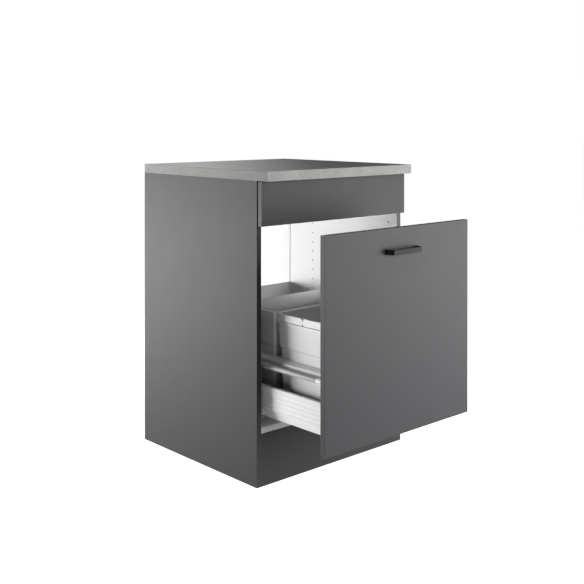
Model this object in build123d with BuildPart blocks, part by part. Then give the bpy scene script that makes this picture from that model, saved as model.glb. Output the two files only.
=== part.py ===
from build123d import *
import math
import os

# A sink base cabinet, 600 mm wide, with its worktop, a fixed apron and a pull-out front. The front
# carries a metal-sided drawer, a frame and two waste bins, and stands partly open.
#
# Millimetres. X runs across the cabinet from its centre plane, Y from the front edges of the side
# panels towards the wall, and Z up from the floor.

# Carcass
cabinet_width = 600.0
side_depth = 555.0
carcass_height = 852.0
board = 16.0
edge_band = 1.0
edge_round = 0.6
plinth_height = 148.0
rail_height = 100.0

# Low back panel and its grooves. Above it the cabinet is open behind for pipes.
back_inset = 50.0
back_thickness = 3.0
groove_depth = 6.0
groove_play = 0.2
back_top = 443.0

# Worktop
worktop_thickness = 28.0
worktop_depth = 600.0

# Fronts
front_thickness = 16.0
front_gap = 2.0
front_reveal = 2.0
front_joint = 2.0
front_foot = 150.0
apron_foot = 726.0
pulled_out = 248.6

# Row of holes in the side panels
pin_radius = 2.5
pin_depth = 11.0
pin_pitch = 32.0
pin_rows = 16
pin_setback = 37.0
pin_columns_apart = 352.0
pin_foot = 212.0

# Knock-down fittings of the carcass
fit = 0.1
cam_radius = 7.4
cam_height = 12.3
cam_setback = 34.0
cam_from_edge = 60.0
bolt_radius = 3.0
bolt_head_radius = 3.4
bolt_head_length = 4.0
bolt_bore_radius = 4.0
bolt_thread_radius = 2.4
bolt_thread_length = 10.9
dowel_radius = 4.0
dowel_in_side = 12.0
dowel_in_end = 18.0
dowel_spacing = 32.0

# Screws
wood_screw_radius = 1.75
wood_screw_head_radius = 3.6
wood_screw_head_height = 2.0
wood_screw_grip = 11.0
cross_width = 0.9
cross_depth = 0.9

# Apron spacers
spacer_radius = 8.0
spacer_inset = 70.0
spacer_from_edge = 25.0

# Worktop angle brackets
angle_leg = 22.0
angle_length = 40.0
angle_sheet = 2.0
angle_places = (120.0, 430.0)

# Handle: a strap with slanted legs
handle_hole_spacing = 128.0
handle_foot_width = 11.0
handle_front_length = 115.4
handle_reach = 25.0
handle_height = 14.0
handle_strap = 6.0
handle_drop = 64.0
handle_round = 2.2
handle_thread_radius = 1.9
handle_thread_depth = 6.5
handle_screw_head_radius = 4.0
handle_screw_head_height = 2.6

# Rubber bumpers on the back of the pull-out front
bumper_radius = 4.0
bumper_height = 1.7
bumper_inset = 45.0

# Drawer sides, bent from sheet steel
drawer_length = 450.0
sheet = 1.5
side_gap = 13.0
side_foot = 192.0
side_top = 280.0
rib_pitch = 12.0
rib_count = 4
rib_depth = 1.2
rib_foot = 216.0
side_step = 7.0
flange_width = 25.0
hem_width = 12.0
hem_drop = 10.0
hem_round = 3.0
bend_round = 2.0

# Drawer bottom and back
drawer_board = 16.0
bottom_play = 0.5
back_side_gap = 13.0

# Sheet brackets at the ends of the drawer sides
bracket_play = 0.5
bracket_tongue = 60.0
bracket_low = 218.0
bracket_high = 258.0
bracket_width = 44.0
bracket_tab_foot = 325.0
bracket_hole_inset = 21.0
bracket_hole_edge = 8.0
rear_hole_inset = 31.0
rear_hole_above_foot = 22.0
rear_hole_below_tab = 25.0

# Gallery rails over the drawer sides
tube_radius = 7.0
tube_wall = 1.0
tube_gap = 18.0
tube_height = 334.0
tube_play = 0.1
spigot_length = 14.0
sleeve_wall = 1.6
sleeve_length = 44.0
sleeve_floor = 4.0
sleeve_round = 1.0
tab_radius = 11.0

# Runners fixed in the cabinet, and their rollers
runner_sheet = 1.2
runner_width = 12.2
runner_inset = 2.5
roller_radius = 10.0
roller_width = 8.0
roller_play = 0.3
roller_headroom = 3.0
axle_radius = 2.5
axle_play = 0.05
axle_collar_radius = 4.0
rivet_head = 0.6
rivet_gap = 0.15
front_roller_back = 12.0
rear_roller_back = 14.0
runner_screw_radius = 2.4
runner_screw_head_radius = 3.8
runner_screw_head_height = 1.2
runner_screw_length = 10.0
runner_middle_pitches = 6

# Frame that holds the bins
frame_margin = 4.0
frame_front_gap = 5.0
frame_rear_inset = 1.0
frame_foot = 333.0
frame_shoulder = 348.0
frame_top = 357.0
frame_slope_width = 13.5
frame_wall = 2.5
frame_corner = 10.0
frame_play = 1.0
ledge_sheet = 2.0
ledge_reach = 14.0
ledge_drop = 30.0
ledge_end_inset = 50.0
ledge_screw_inset = 50.0

# Bins and the two folding carrying bows on each. The play round the rim lets a bow swing up past it.
bin_side_gap = 13.0
bin_top = 482.0
bin_front_gap = 13.6
bin_rear_gap = 13.4
front_bin_depth = 219.0
bins_gap = 4.0
bin_wall = 2.2
bin_floor = 3.0
bin_step_height = 388.0
bin_step = 3.0
bin_taper = 1.6
bin_corner = 6.0
bin_base_round = 5.0
bow_thickness = 3.2
bow_height = 20.0
bow_play = 0.8
bow_below_rim = 0.2
bow_seam = 0.5
bow_edge_round = 0.8
pivot_radius = 3.0
pivot_play = 0.08
stop_half_width = 3.8
stop_height = 4.2
stop_gap = 1.1
stop_play = 0.3
collar_gap = 1.6
collar_thickness = 2.4

# Places worked out from the sizes
half_width = cabinet_width / 2
inner_half = half_width - board
back_front = side_depth - back_inset
back_rear = back_front + back_thickness
floor_top = plinth_height + board
rail_foot = carcass_height - rail_height
worktop_top = carcass_height + worktop_thickness
worktop_front = side_depth - worktop_depth
apron_top = carcass_height - front_reveal
front_top = apron_foot - front_joint
front_half = half_width - front_reveal
front_back = -front_gap - pulled_out
drawer_rear = front_back + drawer_length
tube_x = inner_half - tube_gap
bin_half_width = tube_x - tube_radius - bin_side_gap
frame_half_width = bin_half_width + frame_margin

os.makedirs("parts", exist_ok=True)


def block(low, high, mode=Mode.ADD):
    """A box between two opposite corners."""
    size = [b - a for a, b in zip(low, high)]
    middle = [(a + b) / 2 for a, b in zip(low, high)]
    with Locations(tuple(middle)):
        Box(*size, mode=mode)


def seats(points, outward):
    """One plane for each point, facing outward."""
    return [Plane(origin=point, z_dir=outward) for point in points]


def drill(points, outward, radius, depth):
    """Round holes that go in at each point, against the outward direction."""
    with Locations(*seats(points, outward)):
        Hole(radius, depth)


def both_sides(points):
    """Each point and its mirror image across the centre plane."""
    return [(side * x, y, z) for side in (-1, 1) for x, y, z in points]


def screws(points, outward, radius, length, head_radius, head_height):
    """A cross-head screw in each seat, with its head outside the seat and its core inside."""
    with Locations(*seats(points, outward)):
        Cylinder(radius, length, align=(Align.CENTER, Align.CENTER, Align.MAX))
        Cylinder(head_radius, head_height, align=(Align.CENTER, Align.CENTER, Align.MIN))
        with Locations((0, 0, head_height)):
            for length_x, length_y in ((1.2 * head_radius, cross_width), (cross_width, 1.2 * head_radius)):
                Box(
                    length_x,
                    length_y,
                    2 * cross_depth,
                    mode=Mode.SUBTRACT,
                )


def wood_screws(points, outward, through):
    """Wood screws that pass through a sheet or board and grip the piece behind it."""
    screws(
        points,
        outward,
        wood_screw_radius,
        through + wood_screw_grip,
        wood_screw_head_radius,
        wood_screw_head_height,
    )


def pilot(points, outward):
    """Pilot holes for the wood screws, a little deeper than the screws go."""
    drill(points, outward, wood_screw_radius + fit, wood_screw_grip + 1)


def edging_ring(half, foot, top, front, rear):
    """The edge band round a front panel, with its outer arrises rounded."""
    with BuildPart() as ring:
        block((-half, front, foot), (half, rear, top))
        block(
            (-half + edge_band, front, foot + edge_band),
            (half - edge_band, rear, top - edge_band),
            mode=Mode.SUBTRACT,
        )
        outline = ring.faces().sort_by(Axis.Y)
        fillet(outline[0].outer_wire().edges() + outline[-1].outer_wire().edges(), edge_round)
    return ring.part


def keep(piece, name):
    """Label a finished piece and write it."""
    piece.part.label = name
    export_step(piece.part, f"parts/{name}.step")


# Seats of the carcass joints, on the inner face of the side panel at the right
bottom_middle = plinth_height + board / 2
rail_middle = (rail_foot + carcass_height) / 2
plinth_middle = plinth_height / 2
rear_rail_front = back_front - board
bottom_joint_rows = (cam_from_edge, back_front - cam_from_edge)
bottom_cams = [(inner_half, y, bottom_middle) for y in bottom_joint_rows]
bottom_dowels = [
    (inner_half, bottom_joint_rows[0] + dowel_spacing, bottom_middle),
    (inner_half, bottom_joint_rows[1] - dowel_spacing, bottom_middle),
]
upright_joints = {
    "front_rail": (board / 2, rail_middle),
    "rear_rail": (rear_rail_front + board / 2, rail_middle),
    "plinth": (board / 2, plinth_middle),
}
upright_cams = {name: [(inner_half, y, z)] for name, (y, z) in upright_joints.items()}
upright_dowels = {
    name: [(inner_half, y, z - dowel_spacing), (inner_half, y, z + dowel_spacing)]
    for name, (y, z) in upright_joints.items()
}
all_cams = bottom_cams + [seat for group in upright_cams.values() for seat in group]
all_dowels = bottom_dowels + [seat for group in upright_dowels.values() for seat in group]

# Places of the runner, the rollers and the drawer side
step_underside = rib_foot - sheet
roller_height = step_underside - roller_play - roller_radius
runner_floor = roller_height - roller_radius - roller_play
runner_foot = runner_floor - runner_sheet
runner_ceiling = roller_height + roller_radius + roller_headroom
front_roller_place = runner_inset + front_roller_back
rear_roller_place = drawer_rear - rear_roller_back
runner_screw_rows = (
    pin_setback,
    pin_setback + runner_middle_pitches * pin_pitch,
    pin_setback + pin_columns_apart,
)
runner_screw_seats = [(inner_half, y, pin_foot) for y in runner_screw_rows]

# Seats of the screws that hold the apron, the back panel and the worktop brackets
apron_seats = both_sides(
    [
        (inner_half - spacer_inset, board, rail_foot + spacer_from_edge),
        (inner_half - spacer_inset, board, carcass_height - spacer_from_edge),
    ]
)
back_screw_places = (-inner_half + cam_from_edge, 0.0, inner_half - cam_from_edge)
back_seats = [(x, back_rear, bottom_middle) for x in back_screw_places]
angle_inner = inner_half - angle_sheet
angle_under = carcass_height - angle_sheet
angle_hole = angle_leg / 2 + angle_sheet / 2
angle_side_seats = both_sides([(angle_inner, y, carcass_height - angle_hole) for y in angle_places])
angle_top_seats = both_sides([(inner_half - angle_hole, y, angle_under) for y in angle_places])


# Side panels, white inside, with the back groove, the pin holes and the joint holes
with BuildPart() as side_panel_right:
    block((inner_half, edge_band, 0), (half_width, side_depth, carcass_height))
    block(
        (inner_half, back_front - groove_play, plinth_height),
        (inner_half + groove_depth, back_rear + groove_play, carcass_height),
        mode=Mode.SUBTRACT,
    )
    pin_seats = [
        (inner_half, pin_setback + column * pin_columns_apart, pin_foot + row * pin_pitch)
        for column in range(2)
        for row in range(pin_rows)
    ]
    drill(pin_seats + runner_screw_seats[1:2], (-1, 0, 0), pin_radius, pin_depth)
    drill(all_cams, (-1, 0, 0), bolt_thread_radius + fit, bolt_thread_length + fit)
    drill(all_dowels, (-1, 0, 0), dowel_radius, dowel_in_side)
    pilot([(inner_half, y, z) for x, y, z in angle_side_seats if x > 0], (-1, 0, 0))
keep(side_panel_right, "side_panel_right")

with BuildPart() as side_panel_left:
    mirror(side_panel_right.part, about=Plane.YZ)
keep(side_panel_left, "side_panel_left")

with BuildPart() as side_edging:
    for side in (-1, 1):
        near, far = sorted((side * inner_half, side * half_width))
        block((near, 0, 0), (far, edge_band, carcass_height))
    fillet(side_edging.edges().filter_by(Axis.Z).group_by(Axis.Y)[0], edge_round)
keep(side_edging, "side_edging")


def end_holes(cams, dowels):
    """Bores for the cam bolts and the dowels in both end faces of a board."""
    for side in (-1, 1):
        outward = (side, 0, 0)
        drill([(side * x, y, z) for x, y, z in cams], outward, bolt_bore_radius, cam_setback)
        drill([(side * x, y, z) for x, y, z in dowels], outward, dowel_radius, dowel_in_end + 1)


def cam_holes(cams, face, outward):
    """Blind holes for the cam locks in one face of a board, set back from its ends."""
    drill(cam_places(cams, face, outward), outward, cam_radius + fit, cam_height + fit)


def cam_places(cams, face, outward):
    """Centres of the cam locks on a face: a height for a flat board, a depth for an upright one."""
    if outward[2]:
        return both_sides([(x - cam_setback, y, face) for x, y, z in cams])
    return both_sides([(x - cam_setback, face, z) for x, y, z in cams])


# Bottom panel and its front edge band
with BuildPart() as bottom_panel:
    block((-inner_half, edge_band, plinth_height), (inner_half, back_front, floor_top))
    end_holes(bottom_cams, bottom_dowels)
    cam_holes(bottom_cams, plinth_height, (0, 0, -1))
    pilot([(x, back_front, z) for x, y, z in back_seats], (0, 1, 0))
keep(bottom_panel, "bottom_panel")

with BuildPart() as bottom_edging:
    block((-inner_half, 0, plinth_height), (inner_half, edge_band, floor_top))
    fillet(bottom_edging.edges().filter_by(Axis.X).group_by(Axis.Y)[0], edge_round)
keep(bottom_edging, "bottom_edging")

# Plinth between the side panels
with BuildPart() as plinth_panel:
    block((-inner_half, 0, 0), (inner_half, board, plinth_height))
    end_holes(upright_cams["plinth"], upright_dowels["plinth"])
    cam_holes(upright_cams["plinth"], board, (0, 1, 0))
keep(plinth_panel, "plinth_panel")

# Upright rails at the top, which leave room for the sink bowl
with BuildPart() as front_rail:
    block((-inner_half, 0, rail_foot), (inner_half, board, carcass_height))
    end_holes(upright_cams["front_rail"], upright_dowels["front_rail"])
    cam_holes(upright_cams["front_rail"], board, (0, 1, 0))
    drill(apron_seats, (0, 1, 0), wood_screw_radius + 2 * fit, board)
keep(front_rail, "front_rail")

with BuildPart() as rear_rail:
    block((-inner_half, rear_rail_front, rail_foot), (inner_half, back_front, carcass_height))
    end_holes(upright_cams["rear_rail"], upright_dowels["rear_rail"])
    cam_holes(upright_cams["rear_rail"], rear_rail_front, (0, -1, 0))
keep(rear_rail, "rear_rail")

# Back panel in the grooves
with BuildPart() as back_panel:
    back_half = inner_half + groove_depth - groove_play
    block((-back_half, back_front, plinth_height), (back_half, back_rear, back_top))
    drill(back_seats, (0, 1, 0), wood_screw_radius + 2 * fit, back_thickness)
keep(back_panel, "back_panel")

with BuildPart() as back_panel_screws:
    wood_screws(back_seats, (0, 1, 0), back_thickness)
keep(back_panel_screws, "back_panel_screws")

# Cam locks, each with the pocket that its bolt's head enters
cam_groups = (
    (bottom_cams, plinth_height, (0, 0, -1)),
    (upright_cams["plinth"], board, (0, 1, 0)),
    (upright_cams["front_rail"], board, (0, 1, 0)),
    (upright_cams["rear_rail"], rear_rail_front, (0, -1, 0)),
)
with BuildPart() as cam_locks:
    for cams, face, outward in cam_groups:
        with Locations(*seats(cam_places(cams, face, outward), outward)):
            Cylinder(cam_radius, cam_height, align=(Align.CENTER, Align.CENTER, Align.MAX))
            for length_x, length_y in ((cam_radius, cross_width), (cross_width, cam_radius)):
                Box(length_x, length_y, 2 * cross_depth, mode=Mode.SUBTRACT)
    for side in (-1, 1):
        pockets = [(side * (x - cam_setback + cam_radius + 1), y, z) for x, y, z in all_cams]
        drill(pockets, (side, 0, 0), bolt_head_radius + 2 * fit, cam_radius + 1)
keep(cam_locks, "cam_locks")

# Cam bolts: a thread in the side panel, a shank in the board's end and a head in the cam
bolt_reach = cam_setback - cam_radius + bolt_head_length
with BuildPart() as cam_bolts:
    for side in (-1, 1):
        with Locations(*seats([(side * x, y, z) for x, y, z in all_cams], (side, 0, 0))):
            Cylinder(
                bolt_thread_radius,
                bolt_thread_length,
                align=(Align.CENTER, Align.CENTER, Align.MIN),
            )
            Cylinder(bolt_radius, bolt_reach, align=(Align.CENTER, Align.CENTER, Align.MAX))
            with Locations((0, 0, -bolt_reach)):
                Cylinder(
                    bolt_head_radius,
                    bolt_head_length - 1,
                    align=(Align.CENTER, Align.CENTER, Align.MIN),
                )
keep(cam_bolts, "cam_bolts")

with BuildPart() as dowels:
    for side in (-1, 1):
        with Locations(*seats([(side * x, y, z) for x, y, z in all_dowels], (side, 0, 0))):
            for length, end in ((dowel_in_side, Align.MIN), (dowel_in_end, Align.MAX)):
                Cylinder(dowel_radius - fit / 2, length - fit, align=(Align.CENTER, Align.CENTER, end))
keep(dowels, "dowels")

# Worktop, edged at the front and at both sides
with BuildPart() as worktop_board:
    block(
        (-half_width + edge_band, worktop_front + edge_band, carcass_height),
        (half_width - edge_band, side_depth, worktop_top),
    )
    pilot([(x, y, carcass_height) for x, y, z in angle_top_seats], (0, 0, -1))
keep(worktop_board, "worktop_board")

with BuildPart() as worktop_edging:
    block((-half_width, worktop_front, carcass_height), (half_width, side_depth, worktop_top))
    block(
        (-half_width + edge_band, worktop_front + edge_band, carcass_height),
        (half_width - edge_band, side_depth, worktop_top),
        mode=Mode.SUBTRACT,
    )
    outer_edges = worktop_edging.edges().filter_by(
        lambda e: abs(e.center().X) > half_width - fit or e.center().Y < worktop_front + fit
    )
    fillet(outer_edges.filter_by(Axis.X) + outer_edges.filter_by(Axis.Y), edge_round)
keep(worktop_edging, "worktop_edging")

# Angle brackets between the side panels and the worktop
with BuildPart() as worktop_brackets:
    for side in (-1, 1):
        for place in angle_places:
            low, high = place - angle_length / 2, place + angle_length / 2
            near, far = sorted((side * angle_inner, side * inner_half))
            block((near, low, carcass_height - angle_leg), (far, high, carcass_height))
            near, far = sorted((side * (inner_half - angle_leg), side * inner_half))
            block((near, low, angle_under), (far, high, carcass_height))
        side_seats = [seat for seat in angle_side_seats if side * seat[0] > 0]
        drill(side_seats, (-side, 0, 0), wood_screw_radius + 2 * fit, angle_sheet)
    drill(angle_top_seats, (0, 0, -1), wood_screw_radius + 2 * fit, angle_sheet)
keep(worktop_brackets, "worktop_brackets")

with BuildPart() as worktop_bracket_screws:
    for side in (-1, 1):
        side_seats = [seat for seat in angle_side_seats if side * seat[0] > 0]
        wood_screws(side_seats, (-side, 0, 0), angle_sheet)
    wood_screws(angle_top_seats, (0, 0, -1), angle_sheet)
keep(worktop_bracket_screws, "worktop_bracket_screws")

# Apron: the fixed front under the worktop
with BuildPart() as apron_panel:
    block(
        (-front_half + edge_band, -front_gap - front_thickness, apron_foot + edge_band),
        (front_half - edge_band, -front_gap, apron_top - edge_band),
    )
    pilot([(x, -front_gap, z) for x, y, z in apron_seats], (0, 1, 0))
keep(apron_panel, "apron_panel")

with BuildPart() as apron_edging:
    add(edging_ring(front_half, apron_foot, apron_top, -front_gap - front_thickness, -front_gap))
keep(apron_edging, "apron_edging")

with BuildPart() as apron_spacers:
    with Locations(*seats([(x, 0, z) for x, y, z in apron_seats], (0, 1, 0))):
        Cylinder(spacer_radius, front_gap, align=(Align.CENTER, Align.CENTER, Align.MAX))
        Hole(wood_screw_radius + 2 * fit, front_gap)
keep(apron_spacers, "apron_spacers")

with BuildPart() as apron_screws:
    wood_screws(apron_seats, (0, 1, 0), board + front_gap)
keep(apron_screws, "apron_screws")

# Runners: a channel on each side panel, open towards the drawer
runner_rear = runner_inset + drawer_length
with BuildPart() as runner_right:
    block(
        (inner_half - runner_width, runner_inset, runner_foot),
        (inner_half, runner_rear, runner_ceiling + runner_sheet),
    )
    block(
        (inner_half - runner_width, runner_inset, runner_floor),
        (inner_half - runner_sheet, runner_rear, runner_ceiling),
        mode=Mode.SUBTRACT,
    )
    web_seats = [(inner_half - runner_sheet, y, z) for x, y, z in runner_screw_seats]
    axle_seat = (inner_half - runner_sheet, front_roller_place, roller_height)
    drill(web_seats, (-1, 0, 0), runner_screw_radius + fit, runner_sheet)
    drill([axle_seat], (-1, 0, 0), axle_radius, runner_sheet)
keep(runner_right, "runner_right")

with BuildPart() as runner_left:
    mirror(runner_right.part, about=Plane.YZ)
keep(runner_left, "runner_left")

with BuildPart() as runner_screws:
    for side in (-1, 1):
        screws(
            [(side * x, y, z) for x, y, z in web_seats],
            (-side, 0, 0),
            runner_screw_radius,
            runner_screw_length,
            runner_screw_head_radius,
            runner_screw_head_height,
        )
keep(runner_screws, "runner_screws")

# Rollers and the riveted axles that they turn on. The front pair is on the runners and carries the
# drawer sides under their step; the rear pair is on the drawer sides and rolls in the channels.
side_outer = inner_half - side_gap
step_outer = side_outer - side_step
front_roller_outer = step_outer + rivet_gap * 2 + rivet_head + roller_width
rear_roller_outer = inner_half - runner_sheet - runner_screw_head_height - rivet_head - 3 * rivet_gap
rear_roller_inner = rear_roller_outer - roller_width


def roller(outer_x, place):
    """A nylon roller whose outer end is at outer_x."""
    with BuildPart() as wheel:
        with Locations(Plane(origin=(outer_x, place, roller_height), z_dir=(1, 0, 0))):
            Cylinder(roller_radius, roller_width, align=(Align.CENTER, Align.CENTER, Align.MAX))
            Hole(axle_radius + axle_play, roller_width)
        rims = wheel.edges().filter_by(GeomType.CIRCLE).filter_by(lambda e: e.radius > axle_radius * 2)
        fillet(rims, 1.0)
    return wheel.part


def axle(root_x, root_length, collar_length, place, direction):
    """A riveted axle: a stub in the sheet, a collar, the shaft for the roller and a head."""
    shaft = roller_width + rivet_gap
    with Locations(Plane(origin=(root_x, place, roller_height), z_dir=(direction, 0, 0))):
        Cylinder(
            axle_radius - axle_play,
            root_length - fit,
            align=(Align.CENTER, Align.CENTER, Align.MAX),
        )
        Cylinder(axle_collar_radius, collar_length, align=(Align.CENTER, Align.CENTER, Align.MIN))
        with Locations((0, 0, collar_length)):
            Cylinder(axle_radius, shaft, align=(Align.CENTER, Align.CENTER, Align.MIN))
        with Locations((0, 0, collar_length + shaft)):
            Cylinder(axle_collar_radius, rivet_head, align=(Align.CENTER, Align.CENTER, Align.MIN))


rollers = {
    "front_roller": (front_roller_outer, front_roller_place),
    "rear_roller": (rear_roller_outer, rear_roller_place),
}
for name, (outer_x, place) in rollers.items():
    with BuildPart() as roller_right:
        add(roller(outer_x, place))
    keep(roller_right, f"{name}_right")
    with BuildPart() as roller_left:
        mirror(roller_right.part, about=Plane.YZ)
    keep(roller_left, f"{name}_left")

with BuildPart() as front_roller_axles:
    web_face = inner_half - runner_sheet
    front_collar = web_face - front_roller_outer - rivet_gap / 2
    axle(web_face, runner_sheet, front_collar, front_roller_place, -1)
    mirror(front_roller_axles.part, about=Plane.YZ)
keep(front_roller_axles, "front_roller_axles")

with BuildPart() as rear_roller_axles:
    rear_collar = rear_roller_inner - rivet_gap / 2 - step_outer
    axle(step_outer, sheet, rear_collar, rear_roller_place, 1)
    mirror(rear_roller_axles.part, about=Plane.YZ)
keep(rear_roller_axles, "rear_roller_axles")

# Pull-out front
with BuildPart() as pullout_front:
    front_face = front_back - front_thickness
    handle_level = front_top - handle_drop
    handle_seats = both_sides([(handle_hole_spacing / 2, front_back, handle_level)])
    block(
        (-front_half + edge_band, front_face, front_foot + edge_band),
        (front_half - edge_band, front_back, front_top - edge_band),
    )
    drill(handle_seats, (0, 1, 0), handle_thread_radius + 3 * fit, front_thickness)
    front_bracket_seats = both_sides(
        [
            (side_outer - bracket_hole_inset, front_back, bracket_low + bracket_hole_edge),
            (side_outer - bracket_hole_inset, front_back, bracket_high - bracket_hole_edge),
        ]
    )
    connector_seats = both_sides([(inner_half - tube_gap, front_back, tube_height)])
    ledge_half_length = frame_half_width - ledge_end_inset
    ledge_seats = [
        (side * (ledge_half_length - ledge_screw_inset), front_back, frame_foot - ledge_drop / 2)
        for side in (-1, 0, 1)
    ]
    pilot(front_bracket_seats + connector_seats + ledge_seats, (0, 1, 0))
keep(pullout_front, "pullout_front")

with BuildPart() as pullout_edging:
    add(edging_ring(front_half, front_foot, front_top, front_face, front_back))
keep(pullout_edging, "pullout_edging")

# Handle
with BuildPart() as handle:
    foot_outer = (handle_hole_spacing + handle_foot_width) / 2
    foot_inner = (handle_hole_spacing - handle_foot_width) / 2
    lean = (foot_outer - handle_front_length / 2) / handle_reach
    inner_reach = handle_reach - handle_strap
    with BuildSketch(Plane.XY.offset(handle_level - handle_height / 2)) as handle_plan:
        with BuildLine():
            Polyline(
                (-foot_outer, front_face),
                (-handle_front_length / 2, front_face - handle_reach),
                (handle_front_length / 2, front_face - handle_reach),
                (foot_outer, front_face),
                (foot_inner, front_face),
                (foot_inner - lean * inner_reach, front_face - inner_reach),
                (-foot_inner + lean * inner_reach, front_face - inner_reach),
                (-foot_inner, front_face),
                close=True,
            )
        make_face()
        bends = handle_plan.vertices().filter_by(lambda v: v.Y < front_face - handle_strap)
        fillet(bends, handle_round)
    extrude(amount=handle_height)
    long_edges = handle.faces().filter_by(Axis.Z).edges()
    chamfer(long_edges.filter_by(lambda e: e.center().Y < front_face - 0.1), edge_round)
    thread_seats = both_sides([(handle_hole_spacing / 2, front_face, handle_level)])
    drill(thread_seats, (0, 1, 0), handle_thread_radius + fit, handle_thread_depth)
keep(handle, "handle")

with BuildPart() as handle_screws:
    screws(
        handle_seats,
        (0, 1, 0),
        handle_thread_radius,
        front_thickness + handle_thread_depth - 1,
        handle_screw_head_radius,
        handle_screw_head_height,
    )
keep(handle_screws, "handle_screws")

with BuildPart() as front_bumpers:
    bumper_seats = both_sides(
        [
            (inner_half + board / 2, front_back, front_foot + bumper_inset),
            (inner_half + board / 2, front_back, front_top - bumper_inset),
        ]
    )
    with Locations(*seats(bumper_seats, (0, 1, 0))):
        Cylinder(bumper_radius, bumper_height, align=(Align.CENTER, Align.CENTER, Align.MIN))
    fillet(front_bumpers.edges().filter_by(GeomType.CIRCLE).group_by(Axis.Y)[-1], bumper_height / 3)
keep(front_bumpers, "front_bumpers")

# Drawer sides: one bent sheet with ribs, a step for the runner and a flange under the bottom
flange_seats = [
    (step_outer - flange_width / 2, front_back + share * drawer_length, side_foot)
    for share in (0.15, 0.5, 0.85)
]
with BuildPart() as drawer_side_right:
    rib_top = rib_foot + rib_count * rib_pitch
    valley = side_outer - rib_depth
    with BuildSketch(Plane.XZ.offset(-drawer_rear)) as side_section:
        with BuildLine():
            Polyline(
                (side_outer - hem_width, side_top),
                (side_outer, side_top),
                (side_outer, rib_top + rib_depth),
                (valley, rib_top),
            )
            for rib in range(rib_count):
                high = rib_top - rib * rib_pitch
                ThreePointArc(
                    (valley, high),
                    (side_outer, high - rib_pitch / 2),
                    (valley, high - rib_pitch),
                )
            Polyline(
                (valley, rib_foot),
                (valley, step_underside),
                (step_outer, step_underside),
                (step_outer, side_foot),
                (step_outer - flange_width, side_foot),
                (step_outer - flange_width, side_foot + sheet),
                (step_outer - sheet, side_foot + sheet),
                (step_outer - sheet, rib_foot),
                (valley - sheet, rib_foot),
            )
            for rib in range(rib_count):
                low = rib_foot + rib * rib_pitch
                ThreePointArc(
                    (valley - sheet, low),
                    (side_outer - sheet, low + rib_pitch / 2),
                    (valley - sheet, low + rib_pitch),
                )
            Polyline(
                (valley - sheet, rib_top),
                (side_outer - sheet, rib_top + rib_depth),
                (side_outer - sheet, side_top - sheet),
                (side_outer - hem_width + sheet, side_top - sheet),
                (side_outer - hem_width + sheet, side_top - hem_drop),
                (side_outer - hem_width, side_top - hem_drop),
                (side_outer - hem_width, side_top),
            )
        make_face()
        corners = side_section.vertices().group_by(Axis.Y)
        fillet(corners[-1], hem_round)
        hollow = side_section.vertices().filter_by(lambda v: abs(v.Y - side_top + sheet) < fit)
        fillet(hollow, hem_round - sheet)
        lowest = side_section.vertices().group_by(Axis.Y)[0]
        fillet(lowest.sort_by(Axis.X)[-1], bend_round)
    extrude(amount=drawer_length)
    drill(flange_seats, (0, 0, -1), wood_screw_radius + 2 * fit, sheet)
    drill([(step_outer, rear_roller_place, roller_height)], (1, 0, 0), axle_radius, sheet)
keep(drawer_side_right, "drawer_side_right")

with BuildPart() as drawer_side_left:
    mirror(drawer_side_right.part, about=Plane.YZ)
keep(drawer_side_left, "drawer_side_left")

# Drawer bottom on the flanges, and the back that stands on it and carries the frame
bottom_half = step_outer - sheet - bottom_play
bottom_top = side_foot + sheet + drawer_board
back_half_width = side_outer - back_side_gap
back_face = drawer_rear - drawer_board
rear_seats = both_sides(
    [
        (side_outer - rear_hole_inset, drawer_rear, bracket_low + rear_hole_above_foot),
        (side_outer - rear_hole_inset, drawer_rear, bracket_tab_foot - rear_hole_below_tab),
    ]
)
with BuildPart() as drawer_bottom:
    block(
        (-bottom_half, front_back + bottom_play, side_foot + sheet),
        (bottom_half, drawer_rear, bottom_top),
    )
    pilot(both_sides([(x, y, side_foot + sheet) for x, y, z in flange_seats]), (0, 0, -1))
keep(drawer_bottom, "drawer_bottom")

with BuildPart() as drawer_bottom_screws:
    wood_screws(both_sides(flange_seats), (0, 0, -1), sheet)
keep(drawer_bottom_screws, "drawer_bottom_screws")

with BuildPart() as drawer_back:
    block((-back_half_width, back_face, bottom_top), (back_half_width, drawer_rear, frame_foot))
    pilot(rear_seats, (0, 1, 0))
keep(drawer_back, "drawer_back")

# Brackets: a plate across each end of a drawer side, and a tongue along the side's inner face
tongue_outer = valley - sheet - bracket_play
with BuildPart() as front_brackets:
    plate_inner = side_outer - bracket_width
    block(
        (plate_inner, front_back, bracket_low),
        (tongue_outer, front_back + sheet, bracket_high),
    )
    block(
        (tongue_outer - sheet, front_back, bracket_low),
        (tongue_outer, front_back + bracket_tongue, bracket_high),
    )
    plate_seats = [(x, front_back + sheet, z) for x, y, z in front_bracket_seats if x > 0]
    drill(plate_seats, (0, 1, 0), wood_screw_radius + 2 * fit, sheet)
    mirror(front_brackets.part, about=Plane.YZ)
keep(front_brackets, "front_brackets")

with BuildPart() as front_bracket_screws:
    wood_screws(both_sides(plate_seats), (0, 1, 0), sheet)
keep(front_bracket_screws, "front_bracket_screws")

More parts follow.
